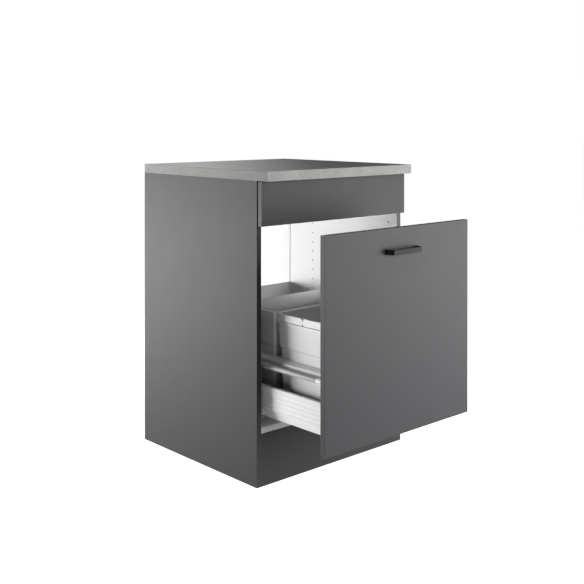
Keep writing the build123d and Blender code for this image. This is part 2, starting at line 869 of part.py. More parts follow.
spigot_radius = tube_radius - tube_wall - tube_play
plate_rear = drawer_rear + sheet
with BuildPart() as rear_brackets:
    block((plate_inner, drawer_rear, bracket_low), (tongue_outer, plate_rear, bracket_tab_foot))
    block(
        (tube_x - tab_radius, drawer_rear, bracket_tab_foot),
        (tube_x + tab_radius, plate_rear, tube_height + tab_radius),
    )
    block(
        (tongue_outer - sheet, drawer_rear - bracket_tongue, bracket_low),
        (tongue_outer, plate_rear, bracket_high),
    )
    with Locations(*seats([(tube_x, drawer_rear, tube_height)], (0, 1, 0))):
        Cylinder(spigot_radius, spigot_length, align=(Align.CENTER, Align.CENTER, Align.MAX))
    rear_plate_seats = [(x, plate_rear, z) for x, y, z in rear_seats if x > 0]
    drill(rear_plate_seats, (0, 1, 0), wood_screw_radius + 2 * fit, sheet)
    mirror(rear_brackets.part, about=Plane.YZ)
keep(rear_brackets, "rear_brackets")

with BuildPart() as rear_bracket_screws:
    wood_screws(both_sides(rear_plate_seats), (0, 1, 0), sheet)
keep(rear_bracket_screws, "rear_bracket_screws")

# Gallery rails: a tube over each drawer side, from a sleeve on the front to the rear bracket
tube_front = front_back + sleeve_floor
with BuildPart() as gallery_rail_right:
    with Locations(*seats([(tube_x, drawer_rear, tube_height)], (0, 1, 0))):
        tube_length = drawer_rear - tube_front
        Cylinder(tube_radius, tube_length, align=(Align.CENTER, Align.CENTER, Align.MAX))
        Hole(tube_radius - tube_wall, tube_length)
keep(gallery_rail_right, "gallery_rail_right")

with BuildPart() as gallery_rail_left:
    mirror(gallery_rail_right.part, about=Plane.YZ)
keep(gallery_rail_left, "gallery_rail_left")

with BuildPart() as rail_connectors:
    sleeve_radius = tube_radius + tube_play + sleeve_wall
    with Locations(*seats(connector_seats, (0, 1, 0))):
        Cylinder(sleeve_radius, sleeve_length, align=(Align.CENTER, Align.CENTER, Align.MIN))
    fillet(rail_connectors.edges().group_by(Axis.Y)[-1], sleeve_round)
    mouths = [(x, front_back + sleeve_length, z) for x, y, z in connector_seats]
    drill(mouths, (0, 1, 0), wood_screw_radius + 2 * fit, sleeve_length)
    drill(mouths, (0, 1, 0), tube_radius + tube_play, sleeve_length - sleeve_floor)
keep(rail_connectors, "rail_connectors")

with BuildPart() as rail_connector_screws:
    connector_screw_seats = [(x, tube_front, z) for x, y, z in connector_seats]
    wood_screws(connector_screw_seats, (0, 1, 0), sleeve_floor)
keep(rail_connector_screws, "rail_connector_screws")

# Bins: places, and how far the tapered body stands in at a height. The rear bin fills what is left.
front_bin_front = front_back + bin_front_gap
rear_bin_front = front_bin_front + front_bin_depth + bins_gap
rear_bin_depth = back_face - bin_rear_gap - rear_bin_front
front_bin_middle = front_bin_front + front_bin_depth / 2
rear_bin_middle = rear_bin_front + rear_bin_depth / 2
draft = math.tan(math.radians(bin_taper))


def bin_inset(height):
    """How far the upper wall of a bin, or its line carried on, stands in from the outside of its bows."""
    return bow_thickness + bow_play + (bin_top - height) * draft


# Frame: a skirt and a sloped shoulder round a flat top with an opening for each bin. The skirt
# stands on the ledge at the front and on the drawer back at the rear.
with BuildPart() as bin_frame:
    frame_front = front_back + frame_front_gap
    frame_rear = drawer_rear - frame_rear_inset
    frame_middle = (frame_front + frame_rear) / 2
    frame_length = frame_rear - frame_front
    slope = math.degrees(math.atan(frame_slope_width / (frame_top - frame_shoulder)))
    for inset, mode in ((0, Mode.ADD), (frame_wall, Mode.SUBTRACT)):
        plan = (2 * (frame_half_width - inset), frame_length - 2 * inset)
        shoulder = frame_shoulder - inset
        with BuildSketch(Plane.XY.offset(frame_foot)):
            with Locations((0, frame_middle)):
                RectangleRounded(*plan, frame_corner - inset)
        extrude(amount=shoulder - frame_foot, mode=mode)
        with BuildSketch(Plane.XY.offset(shoulder)):
            with Locations((0, frame_middle)):
                RectangleRounded(*plan, frame_corner - inset)
        extrude(amount=frame_top - frame_shoulder, taper=slope, mode=mode)
    hole_inset = bin_inset(frame_top) + bin_step - frame_play
    with BuildSketch(Plane.XY.offset(frame_foot)):
        for middle, depth in (
            (front_bin_middle, front_bin_depth),
            (rear_bin_middle, rear_bin_depth),
        ):
            with Locations((0, middle)):
                RectangleRounded(
                    2 * (bin_half_width - hole_inset),
                    depth - 2 * hole_inset,
                    bin_corner,
                )
    extrude(amount=frame_top - frame_foot + 1, mode=Mode.SUBTRACT)
keep(bin_frame, "bin_frame")

# Ledge on the back of the front that the frame's front skirt stands on
with BuildPart() as frame_ledge:
    block(
        (-ledge_half_length, front_back, frame_foot - ledge_drop),
        (ledge_half_length, front_back + ledge_sheet, frame_foot),
    )
    block(
        (-ledge_half_length, front_back, frame_foot - ledge_sheet),
        (ledge_half_length, front_back + ledge_reach, frame_foot),
    )
    ledge_plate_seats = [(x, front_back + ledge_sheet, z) for x, y, z in ledge_seats]
    drill(ledge_plate_seats, (0, 1, 0), wood_screw_radius + 2 * fit, ledge_sheet)
keep(frame_ledge, "frame_ledge")

with BuildPart() as frame_ledge_screws:
    wood_screws(ledge_plate_seats, (0, 1, 0), ledge_sheet)
keep(frame_ledge_screws, "frame_ledge_screws")

bow_end_radius = bow_height / 2
pivot_height = bin_top - bow_below_rim - bow_end_radius
pivot_offset = bow_end_radius + bow_seam / 2
neck_half = bin_half_width - bow_thickness - bow_play
bow_foot = pivot_height - bow_end_radius
collar_top = bow_foot - collar_gap


def tapered(middle, depth, extra, top, foot, mode):
    """A block that narrows downward, set in from the line of a bin's upper wall by an extra inset."""
    sections = []
    for height in (foot, top):
        inset = bin_inset(height) + extra
        with BuildSketch(Plane.XY.offset(height)) as section:
            with Locations((0, middle)):
                RectangleRounded(2 * (bin_half_width - inset), depth - 2 * inset, bin_corner)
        sections.append(section.sketch)
    loft(sections, ruled=True, mode=mode)


def waste_bin(middle, depth):
    """A tapered tub with a collar under its bows, a fine step and four studs that the bows turn on."""
    with BuildPart() as tub:
        tub_floor = bottom_top + bin_floor
        step_floor = bin_step_height + bin_wall
        tapered(middle, depth, 0, bin_top, bin_step_height, Mode.ADD)
        tapered(middle, depth, bin_step, bin_step_height, bottom_top, Mode.ADD)
        fillet(tub.faces().sort_by(Axis.Z)[0].edges(), bin_base_round)
        with BuildSketch(Plane.XY.offset(collar_top)):
            with Locations((0, middle)):
                RectangleRounded(2 * bin_half_width, depth, bin_corner + bow_thickness)
        extrude(amount=-collar_thickness)
        tapered(middle, depth, bin_wall, bin_top, step_floor, Mode.SUBTRACT)
        tapered(middle, depth, bin_step + bin_wall, step_floor, tub_floor, Mode.SUBTRACT)
        for side in (-1, 1):
            studs = [
                (side * (neck_half - bin_wall), middle + end * pivot_offset, pivot_height)
                for end in (-1, 1)
            ]
            with Locations(*seats(studs, (side, 0, 0))):
                Cylinder(
                    pivot_radius,
                    bin_wall + bow_play + bow_thickness,
                    align=(Align.CENTER, Align.CENTER, Align.MIN),
                )
    return tub.part


def carrying_bow(middle, depth, end):
    """A U-shaped bow round one half of a bin's rim: end is -1 for the front half, 1 for the rear."""
    pivot = middle + end * pivot_offset
    foot_cut = stop_half_width + stop_gap
    with BuildPart() as bow:
        with BuildSketch(Plane.XY.offset(bow_foot)):
            with Locations((0, middle)):
                RectangleRounded(2 * bin_half_width, depth, bin_corner + bow_thickness)
                RectangleRounded(
                    2 * (bin_half_width - bow_thickness),
                    depth - 2 * bow_thickness,
                    bin_corner,
                    mode=Mode.SUBTRACT,
                )
        extrude(amount=bow_height)
        near, far = sorted((pivot, middle - end * depth))
        block(
            (-bin_half_width, near, bow_foot),
            (bin_half_width, far, bow_foot + bow_height),
            mode=Mode.SUBTRACT,
        )
        outer_edges = bow.edges().filter_by(
            lambda e: abs(e.center().X) > bin_half_width - bow_edge_round
            or abs(e.center().Y - middle) > depth / 2 - bow_edge_round
        )
        fillet(outer_edges.filter_by(GeomType.LINE).filter_by(Axis.Z, reverse=True), bow_edge_round)
        end_plane = Plane(origin=(0, pivot, pivot_height), x_dir=(0, -end, 0), z_dir=(-end, 0, 0))
        with BuildSketch(end_plane) as end_shape:
            with BuildLine():
                Line((0, bow_end_radius), (0, -bow_end_radius))
                Polyline(
                    (0, -bow_end_radius),
                    (bow_end_radius - foot_cut, -bow_end_radius),
                    (bow_end_radius, -bow_end_radius + stop_height + stop_gap),
                    (bow_end_radius, 0),
                )
                ThreePointArc(
                    (bow_end_radius, 0),
                    (bow_end_radius * math.sqrt(0.5), bow_end_radius * math.sqrt(0.5)),
                    (0, bow_end_radius),
                )
            make_face()
        for side in (-1, 1):
            arm = Location((side * (bin_half_width - bow_thickness / 2), 0, 0))
            extrude(end_shape.sketch.moved(arm), amount=bow_thickness / 2, both=True)
        for side in (-1, 1):
            bore = [(side * bin_half_width, pivot, pivot_height)]
            drill(bore, (side, 0, 0), pivot_radius + pivot_play, bow_thickness)
    return bow.part


def bow_stops(middle):
    """A wedge on each side of a bin, between the lower corners of its two folded bows."""
    with BuildPart() as wedges:
        with BuildSketch(Plane.YZ.offset(bin_half_width - stop_play)):
            Polygon(
                (middle - stop_half_width, bow_foot),
                (middle + stop_half_width, bow_foot),
                (middle, bow_foot + stop_height),
                align=None,
            )
        extrude(amount=-(bin_inset(bow_foot + stop_height) - stop_play))
        mirror(wedges.part, about=Plane.YZ)
    return wedges.part


bins = {
    "front_bin": (front_bin_middle, front_bin_depth),
    "rear_bin": (rear_bin_middle, rear_bin_depth),
}
for name, (middle, depth) in bins.items():
    with BuildPart() as bin_body:
        add(waste_bin(middle, depth))
    keep(bin_body, name)
    with BuildPart() as bin_stops:
        add(bow_stops(middle))
    keep(bin_stops, f"{name}_bow_stops")
    for end, word in ((-1, "front"), (1, "rear")):
        with BuildPart() as bin_bow:
            add(carrying_bow(middle, depth, end))
        keep(bin_bow, f"{name}_{word}_bow")
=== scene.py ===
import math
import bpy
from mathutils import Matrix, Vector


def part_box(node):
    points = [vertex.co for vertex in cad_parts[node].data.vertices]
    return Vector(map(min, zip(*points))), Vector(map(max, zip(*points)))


bl_info = {
    "name": "Sink base cabinet with waste bins",
    "version": (1, 0, 0),
    "blender": (4, 5, 0),
    "location": "3D View > Sidebar > Cabinet",
    "description": "Gives the packed sink base cabinet its finishes and sets up a studio round it",
    "category": "Object",
}

import bmesh
import bpy
from bpy.props import FloatProperty, FloatVectorProperty, PointerProperty
from mathutils import Vector

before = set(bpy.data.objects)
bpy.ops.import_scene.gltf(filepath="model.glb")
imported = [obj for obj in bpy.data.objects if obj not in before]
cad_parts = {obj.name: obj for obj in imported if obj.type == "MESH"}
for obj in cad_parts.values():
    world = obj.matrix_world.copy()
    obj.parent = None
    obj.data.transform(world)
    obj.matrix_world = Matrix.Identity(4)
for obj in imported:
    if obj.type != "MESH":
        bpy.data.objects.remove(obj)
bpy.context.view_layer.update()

# Thickness of a board's face layer, which tells a face from a raw edge or the wall of a hole
FACE_LAYER = 0.00012
# Thicknesses of the worktop's laminate and of the paper on its underside
LAMINATE = 0.0006
BACKING = 0.00036
# How much deeper the relief of raw chips and of bare fibres is than the pores of a melamine
CHIP_RELIEF = 12.0
FIBRE_RELIEF = 3.0
# How much longer a chip is along its board than through it
CHIP_FLATNESS = 3.2
# Roughness of the laminates, of a raw board edge and of the back panel's bare face
LAMINATE_ROUGHNESS = 0.6
RAW_ROUGHNESS = 0.85
FIBRE_ROUGHNESS = 0.8
# How much smoother an edge band is than its board, and the worktop's top than its edge band
BAND_SMOOTHER = 0.04
TOP_SMOOTHER = 0.3
# Strength of the shine of a board's faces, its edge band, the worktop's top and its edge band
MELAMINE_SHINE = 0.18
BAND_SHINE = 0.2
TOP_SHINE = 0.5
TOP_BAND_SHINE = 0.15
# Pits in the worktop: radius as a share of a cell, how sharply they begin, and how dark they are
PIT_RADIUS = 0.17
PIT_SHARPNESS = 14.0
PIT_DARKNESS = 0.45
# How dark the line beside an edge band is, and how dark the painted shade under a bin's step is
SEAM_DARKNESS = 0.5
STEP_SHADE_DARKNESS = 0.5


def colour_property(name, description, default):
    """A colour that a user can change."""
    return FloatVectorProperty(
        name=name, description=description, default=default, subtype="COLOR", size=3, min=0.0, max=1.0
    )


def length_property(name, description, default):
    """A length in metres."""
    return FloatProperty(name=name, description=description, default=default, min=0.0, unit="LENGTH")


def angle_property(name, description, degrees):
    """An angle, given in degrees."""
    return FloatProperty(
        name=name, description=description, default=math.radians(degrees), subtype="ANGLE", unit="ROTATION"
    )


def power_property(name, description, default):
    """A lamp's power in watts."""
    return FloatProperty(name=name, description=description, default=default, min=0.0, unit="POWER")


class CabinetColours(bpy.types.PropertyGroup):
    """Colours of the cabinet's finishes"""

    graphite: colour_property("Graphite", "Melamine of the fronts and sides", (0.0445, 0.0417, 0.0447))
    white: colour_property("White", "Melamine inside the cabinet", (0.715, 0.715, 0.72))
    concrete_light: colour_property("Concrete, light", "Light grains of the worktop", (0.31, 0.31, 0.3))
    concrete_dark: colour_property("Concrete, dark", "Dark grains of the worktop", (0.15, 0.15, 0.145))
    chip_light: colour_property("Chips, light", "Light chips in a raw board edge", (0.56, 0.41, 0.25))
    chip_dark: colour_property("Chips, dark", "Dark chips in a raw board edge", (0.24, 0.15, 0.075))
    fibre: colour_property("Fibreboard", "Bare rear face of the back panel", (0.27, 0.165, 0.085))
    coated_white: colour_property("White coat", "Powder coat of the drawer sides", (0.83, 0.83, 0.835))
    coated_grey: colour_property("Grey coat", "Powder coat of runners and ledge", (0.62, 0.62, 0.63))
    tube: colour_property("Tube coat", "Coat of the gallery rails", (0.36, 0.36, 0.365))
    plastic: colour_property("Bin plastic", "Plastic of the bins and their frame", (0.66, 0.66, 0.665))
    handle: colour_property("Handle", "Black coat of the handle", (0.004, 0.004, 0.004))
    zinc: colour_property("Zinc", "Plated screws and brackets", (0.66, 0.66, 0.68))
    casting: colour_property("Casting", "Die-cast fittings", (0.5, 0.5, 0.52))
    beech: colour_property("Beech", "Dowels", (0.6, 0.4, 0.22))
    nylon_white: colour_property("White nylon", "Rollers and sleeves", (0.8, 0.8, 0.77))
    # Black nylon of the spacers; on the bow stops the same black stands in as painted shade for the dark
    # notch under the bows' seams
    nylon_black_and_notch_shade: colour_property("Black nylon", "Spacers and stops", (0.022, 0.022, 0.022))
    rubber: colour_property("Rubber", "Bumpers on the pull-out front", (0.55, 0.55, 0.52))
    drilled: colour_property("Drilled board", "Walls of the holes in the boards", (0.52, 0.515, 0.51))
    paper: colour_property("Backing paper", "Underside of the worktop", (0.42, 0.36, 0.28))


class CabinetGrain(bpy.types.PropertyGroup):
    """Sizes of the patterns in the cabinet's finishes"""

    pore: length_property("Pore", "Pores of the melamine", 0.0007)
    pore_depth: length_property("Pore depth", "Depth of the melamine's pores", 0.00003)
    cloud: length_property("Cloud", "Faint clouds in the melamine", 0.16)
    speck: length_property("Speck", "Grains of the worktop", 0.0022)
    patch: length_property("Patch", "Light and dark patches of the worktop", 0.07)
    chip: length_property("Chip", "Length of a chip in a raw edge", 0.004)
    peel: length_property("Peel", "Waves of a powder coat", 0.0016)
    peel_depth: length_property("Peel depth", "Depth of a powder coat's waves", 0.00002)
    spark: length_property("Spark", "Texture of the moulded plastic", 0.0009)
    spark_depth: length_property("Spark depth", "Depth of the moulded plastic's texture", 0.00004)
    seam: length_property("Seam", "Dark line between a board and its edge band", 0.0004)
    flow: length_property("Flow", "Flow marks of the moulded plastic", 0.05)
    rub: length_property("Rub", "Rubbed spots of the moulded plastic", 0.02)
    coat_cloud: length_property("Coat cloud", "Faint clouds in a powder coat", 0.08)
    scratch: length_property("Scratch", "Width of the scratches in plated metal", 0.0012)
    scratch_depth: length_property("Scratch depth", "Depth of the scratches in plated metal", 0.00001)
    fibre: length_property("Fibre", "Fibres of the back panel's bare face", 0.0022)
    fibre_cloud: length_property("Fibre cloud", "Clouds of the back panel's bare face", 0.05)
    paper_mottle: length_property("Paper mottle", "Mottle of the paper under the worktop", 0.02)
    wood_grain: length_property("Wood grain", "Grain of the dowels", 0.0015)
    wood_fleck: length_property("Wood fleck", "Dark flecks of the dowels", 0.0005)
    wood_depth: length_property("Wood depth", "Depth of the dowels' grain", 0.00004)
    # The dark line under a bin's step is painted shade: its height, and how far down it fades
    step_shade_height: length_property("Step line", "Height of the dark line under a bin's step", 0.388)
    step_shade_fade: length_property("Step fade", "How far down the dark line under the step fades", 0.005)


class StageSetup(bpy.types.PropertyGroup):
    """Camera, lamps and floor"""

    camera_place: FloatVectorProperty(
        name="Camera place",
        description="Where the camera stands",
        default=(-2.01587, -2.02761, 1.02582),
        subtype="TRANSLATION",
        unit="LENGTH",
    )
    heading: angle_property("Heading", "Turn of the level camera from +Y towards +X", 42.34)
    lens: FloatProperty(
        name="Lens", description="Focal length of the camera", default=59.06, min=1.0, unit="CAMERA"
    )
    sensor: FloatProperty(
        name="Sensor", description="Width of the sensor", default=36.0, min=1.0, unit="CAMERA"
    )
    shift: FloatProperty(
        name="Shift", description="Vertical shift that keeps the uprights upright", default=-0.2975
    )
    left_azimuth: angle_property("Left azimuth", "Place of the left lamp, from +X towards +Y", 127.3)
    left_height: length_property("Left height", "Middle of the left lamp above the floor", 0.4)
    left_width: length_property("Left width", "Width of the left lamp", 1.2)
    left_tall: length_property("Left tall", "Height of the left lamp's face", 0.7)
    left_power: power_property("Left lamp", "Power of the low soft lamp behind on the left", 83.0)
    right_azimuth: angle_property("Right azimuth", "Place of the right lamp, from +X towards +Y", -45.0)
    right_height: length_property("Right height", "Middle of the right lamp above the floor", 0.55)
    right_width: length_property("Right width", "Width of the right lamp", 1.0)
    right_tall: length_property("Right tall", "Height of the right lamp's face", 0.9)
    right_power: power_property("Right lamp", "Power of the soft lamp in front on the right", 77.0)
    front_azimuth: angle_property("Front azimuth", "Place of the front lamp, from +X towards +Y", -80.0)
    front_height: length_property("Front height", "Middle of the front lamp above the floor", 1.7)
    front_width: length_property("Front width", "Width of the front lamp", 0.9)
    front_tall: length_property("Front tall", "Height of the front lamp's face", 0.6)
    front_power: power_property("Front lamp", "Power of the raised soft lamp in front", 40.0)
    top_azimuth: angle_property("Top azimuth", "Place of the top lamp, from +X towards +Y", -100.0)
    top_height: length_property("Top height", "Middle of the top lamp above the floor", 2.4)
    top_aim: length_property("Top aim", "Height that the top lamp points at", 0.4)
    top_distance: length_property("Top distance", "From the origin to the top lamp, along the floor", 1.0)
    top_width: length_property("Top width", "Width and depth of the top lamp", 1.2)
    top_power: power_property("Top lamp", "Power of the soft lamp overhead", 13.0)
    lamp_distance: length_property("Lamp distance", "From the origin to each standing lamp", 2.6)
    dim_heading: angle_property("Dim heading", "Past it the studio is dark in reflections", 43.7)
    dim_edge: FloatProperty(
        name="Dim edge", description="How sharply the dark part of the studio begins", default=8.0, min=0.0
    )
    floor_reach: length_property("Floor reach", "How far the floor runs out on each side", 40.0)
    floor_gap: length_property("Floor gap", "How far the floor lies under the cabinet's feet", 0.0002)
    floor_dust: length_property("Floor dust", "Faint clouds in the floor's colour", 0.3)
    floor: colour_property("Floor", "Colour of the floor", (0.7, 0.7, 0.7))


class Wire:
    """A value in a node tree. An expression on wires and numbers adds its Math nodes."""

    def __init__(self, nodes, socket):
        self.nodes = nodes
        self.socket = socket

    def math(self, operation, first, second):
        return self.nodes.add("ShaderNodeMath", {"operation": operation}, {0: first, 1: second})

    def __add__(self, other):
        return self.math("ADD", self, other)

    def __radd__(self, other):
        return self.math("ADD", other, self)

    def __sub__(self, other):
        return self.math("SUBTRACT", self, other)

    def __rsub__(self, other):
        return self.math("SUBTRACT", other, self)

    def __mul__(self, other):
        return self.math("MULTIPLY", self, other)

    def __rmul__(self, other):
        return self.math("MULTIPLY", other, self)

    def __gt__(self, other):
        return self.math("GREATER_THAN", self, other)

    def __lt__(self, other):
        return self.math("LESS_THAN", self, other)

    def swing(self, amount):
        """A value from 0 to 1 as a swing round 0 of this whole width."""
        return (self - 0.5) * amount


class Nodes:
    """The node tree of a material or of the world."""

    def __init__(self, owner):
        owner.use_nodes = True
        self.tree = owner.node_tree
        self.tree.nodes.clear()

    def add(self, kind, settings=None, values=None, output=0):
        """Adds a node, sets its settings and then its sockets, and gives one of its outputs."""
        node = self.tree.nodes.new(kind)
        for name, value in (settings or {}).items():
            setattr(node, name, value)
        for name, value in (values or {}).items():
            if isinstance(value, Wire):
                self.tree.links.new(value.socket, node.inputs[name])
            else:
                node.inputs[name].default_value = value
        if not node.outputs:
            return None
        return Wire(self, node.outputs[output])

    def place(self):
        """A point's place in the cabinet, in metres."""
        return self.add("ShaderNodeTexCoord", output="Object")

    def split(self, vector):
        """The three parts of a vector."""
        whole = self.add("ShaderNodeSeparateXYZ", None, {0: vector})
        return [Wire(self, output) for output in whole.socket.node.outputs]

    def scaled(self, vector, factors):
        """A vector times a factor for each axis."""
        return self.add("ShaderNodeVectorMath", {"operation": "MULTIPLY"}, {0: vector, 1: factors})

    def noise(self, place, size, detail=2.0, roughness=0.5):
        """Smooth noise round 0.5 with features of about this size."""
        values = {"Vector": place, "Scale": 1.0 / size, "Detail": detail, "Roughness": roughness}
        return self.add("ShaderNodeTexNoise", None, values)

    def cells(self, place, size, output="Distance"):
        """Cells of about this size, as the distance from each one's middle or as a shade for each."""
        values = {"Vector": place, "Scale": 1.0 / size}
        return self.add("ShaderNodeTexVoronoi", None, values, output)

    def mix(self, factor, first, second):
        """A colour from first to second."""
        values = {0: factor, 6: rgba(first), 7: rgba(second)}
        return self.add("ShaderNodeMix", {"data_type": "RGBA"}, values, 2)

    def shade(self, colour, factor):
        """A colour made lighter or darker."""
        values = {0: colour if isinstance(colour, Wire) else colour[:3], "Scale": factor}
        return self.add("ShaderNodeVectorMath", {"operation": "SCALE"}, values)

    def clamp(self, value):
        """A value kept from 0 to 1."""
        return self.add("ShaderNodeClamp", None, {0: value})

    def bump(self, height, depth):
        """A surface direction that follows a height from 0 to 1."""
        return self.add("ShaderNodeBump", None, {"Strength": 1.0, "Distance": depth, "Height": height})

    def surface(self, colour, roughness, normal, **fixed):
        """The shader and the output, with fixed numbers for its other sockets."""
        values = {"Base Color": colour, "Roughness": roughness, "Normal": normal}
        for name, value in fixed.items():
            values[name.replace("_", " ")] = value
        shader = self.add("ShaderNodeBsdfPrincipled", None, values)
        self.add("ShaderNodeOutputMaterial", None, {"Surface": shader})


def rgba(colour):
    """A colour with its alpha, or the wire that carries it."""
    if isinstance(colour, Wire):
        return colour
    return (colour[0], colour[1], colour[2], 1.0)


def new_material(name):
    """A material and its empty node tree."""
    material = bpy.data.materials.new(name)
    return material, Nodes(material)


def dress(material, *names):
    """Gives a material to CAD nodes."""
    for name in names:
        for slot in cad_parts[name].material_slots:
            slot.material = material


def near_edges(nodes, parts, box, axis, width):
    """1 within a width of the ends of a board on the two axes of its faces, else 0."""
    inside = None
    for other in range(3):
        if other == axis:
            continue
        low, high = box[0][other] + width, box[1][other] - width
        within = (parts[other] > low) * (parts[other] < high)
        inside = within if inside is None else inside * within
    return 1.0 - inside


def raw_edge(nodes, place, axis, colours, grain):
    """Colour and height of a raw chipboard edge. The chips lie flat in the board."""
    stretch = [1.0, 1.0, 1.0]
    stretch[axis] = CHIP_FLATNESS
    flat = nodes.scaled(place, tuple(stretch))
    shades = nodes.cells(flat, grain.chip, "Color")
    shade = nodes.split(shades)[0]
    fine = nodes.noise(flat, grain.chip / 5.0, 3.0)
    lightness = nodes.clamp(shade * 0.75 + fine * 0.4 - 0.05)
    return nodes.mix(lightness, colours.chip_dark, colours.chip_light), shade * 0.6 + fine * 0.4


def melamine(nodes, place, colour, grain):
    """Colour, roughness and height of a fine matt melamine face."""
    cloud = nodes.noise(place, grain.cloud, 3.0)
    pores = nodes.noise(place, grain.pore, 2.0, 0.6)
    handled = nodes.noise(place, grain.cloud * 0.35, 2.0)
    tone = 1.0 + cloud.swing(0.04) + pores.swing(0.06)
    roughness = LAMINATE_ROUGHNESS + handled.swing(0.035) + pores.swing(0.08)
    return nodes.shade(colour, tone), roughness, pores


def board(name, node, axis, low_colour, high_colour, banded=False):
    """Dresses a melamine-faced chipboard: a colour for each of its two faces, and raw edges."""
    scene = bpy.context.scene
    colours, grain = scene.cabinet_colours, scene.cabinet_grain
    material, nodes = new_material(name)
    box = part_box(node)
    place = nodes.place()
    parts = nodes.split(place)
    on_low = parts[axis] < box[0][axis] + FACE_LAYER
    on_high = parts[axis] > box[1][axis] - FACE_LAYER
    faced = on_low + on_high
    face_colour = nodes.mix(on_high, low_colour, high_colour)
    face_colour, roughness, pores = melamine(nodes, place, face_colour, grain)
    if banded:
        seam = near_edges(nodes, parts, box, axis, grain.seam)
        face_colour = nodes.shade(face_colour, 1.0 - seam * SEAM_DARKNESS)
    chip_colour, chip_height = raw_edge(nodes, place, axis, colours, grain)
    dust = nodes.noise(place, grain.chip / 5.0, 3.0)
    drilled = nodes.shade(rgba(colours.drilled), 0.7 + dust * 0.6)
    outline = near_edges(nodes, parts, box, axis, FACE_LAYER)
    colour = nodes.mix(faced, nodes.mix(outline, drilled, chip_colour), face_colour)
    height = faced * pores + (1.0 - faced) * chip_height * CHIP_RELIEF
    roughness = faced * roughness + (1.0 - faced) * RAW_ROUGHNESS
    normal = nodes.bump(height, grain.pore_depth)
    nodes.surface(colour, roughness, normal, Specular_IOR_Level=MELAMINE_SHINE)
    dress(material, node)


def edge_band(name, colour):
    """A plastic edge band with a fine matt grain."""
    grain = bpy.context.scene.cabinet_grain
    material, nodes = new_material(name)
    place = nodes.place()
    colour, roughness, pores = melamine(nodes, place, rgba(colour), grain)
    normal = nodes.bump(pores, grain.pore_depth)
    nodes.surface(colour, roughness - BAND_SMOOTHER, normal, Specular_IOR_Level=BAND_SHINE)
    return material


def concrete(nodes, place, colours, grain):
    """Colour, roughness and height of a speckled concrete-look laminate."""
    patch = nodes.noise(place, grain.patch, 4.0, 0.55)
    streak = nodes.noise(nodes.scaled(place, (0.5, 1.4, 1.0)), grain.patch * 0.3, 3.0, 0.6)
    grains = nodes.noise(place, grain.speck, 3.0, 0.75)
    dust = nodes.noise(place, grain.speck * 0.33, 2.0, 0.6)
    lightness = 0.5 + patch.swing(0.5) + streak.swing(0.3) + grains.swing(2.2) + dust.swing(1.4)
    colour = nodes.mix(nodes.clamp(lightness), colours.concrete_dark, colours.concrete_light)
    spots = nodes.cells(place, grain.speck * 4.5)
    pitted = nodes.noise(place, grain.patch * 0.4) > 0.56
    pits = nodes.clamp((PIT_RADIUS - spots) * PIT_SHARPNESS) * pitted
    colour = nodes.shade(colour, 1.0 - pits * PIT_DARKNESS)
    roughness = LAMINATE_ROUGHNESS + grains.swing(0.2) - patch.swing(0.12)
    return colour, roughness, grains * 0.6 + dust * 0.4 - pits


def worktop_finish():
    """The worktop board: laminate on top, backing paper below and raw chipboard at the rear."""
    scene = bpy.context.scene
    colours, grain = scene.cabinet_colours, scene.cabinet_grain
    material, nodes = new_material("worktop_laminate")
    low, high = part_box("worktop_board")
    place = nodes.place()
    height_part = nodes.split(place)[2]
    on_top = height_part > high[2] - LAMINATE
    below = height_part < low[2] + BACKING
    top_colour, roughness, top_height = concrete(nodes, place, colours, grain)
    chip_colour, chip_height = raw_edge(nodes, place, 2, colours, grain)
    mottle = nodes.noise(place, grain.paper_mottle, 4.0)
    paper = nodes.shade(rgba(colours.paper), 1.0 + mottle.swing(0.2))
    colour = nodes.mix(on_top, nodes.mix(below, chip_colour, paper), top_colour)
    raw = (1.0 - on_top) * (1.0 - below)
    height = on_top * top_height + raw * chip_height * CHIP_RELIEF
    roughness = on_top * (roughness - TOP_SMOOTHER) + (1.0 - on_top) * RAW_ROUGHNESS
    normal = nodes.bump(height, grain.pore_depth)
    nodes.surface(colour, roughness, normal, Specular_IOR_Level=TOP_SHINE)
    return material


def worktop_band_finish():
    """The worktop's edge band, in the same concrete look."""
    scene = bpy.context.scene
    colours, grain = scene.cabinet_colours, scene.cabinet_grain
    material, nodes = new_material("worktop_band")
    colour, roughness, height = concrete(nodes, nodes.place(), colours, grain)
    normal = nodes.bump(height, grain.pore_depth)
    nodes.surface(colour, roughness, normal, Specular_IOR_Level=TOP_BAND_SHINE)
    return material


def back_panel_finish():
    """Thin fibreboard: painted white towards the cabinet, bare and brown behind."""
    scene = bpy.context.scene
    colours, grain = scene.cabinet_colours, scene.cabinet_grain
    material, nodes = new_material("back_fibreboard")
    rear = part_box("back_panel")[1][1]
    place = nodes.place()
    painted = nodes.split(place)[1] < rear - FACE_LAYER
    white, roughness, pores = melamine(nodes, place, rgba(colours.white), grain)
    fibres = nodes.noise(nodes.scaled(place, (1.0, 1.0, 3.0)), grain.fibre, 5.0, 0.7)
    cloud = nodes.noise(place, grain.fibre_cloud, 3.0)
    bare = nodes.shade(rgba(colours.fibre), 0.72 + fibres * 0.45 + cloud * 0.12)
    colour = nodes.mix(painted, bare, white)
    roughness = painted * roughness + (1.0 - painted) * FIBRE_ROUGHNESS
    height = painted * pores + (1.0 - painted) * fibres * FIBRE_RELIEF
    nodes.surface(colour, roughness, nodes.bump(height, grain.pore_depth))
    return material


def powder_coat(name, colour, base_roughness, gloss=0.5):
    """A sprayed and baked coat with a faint orange peel. Gloss is the strength of its shine."""
    grain = bpy.context.scene.cabinet_grain
    material, nodes = new_material(name)
    place = nodes.place()
    peel = nodes.noise(place, grain.peel, 2.0, 0.4)
    cloud = nodes.noise(place, grain.coat_cloud, 3.0)
    colour = nodes.shade(rgba(colour), 1.0 + cloud.swing(0.03) + peel.swing(0.02))
    roughness = base_roughness + cloud.swing(0.08)
    nodes.surface(colour, roughness, nodes.bump(peel, grain.peel_depth), Specular_IOR_Level=gloss)
    return material


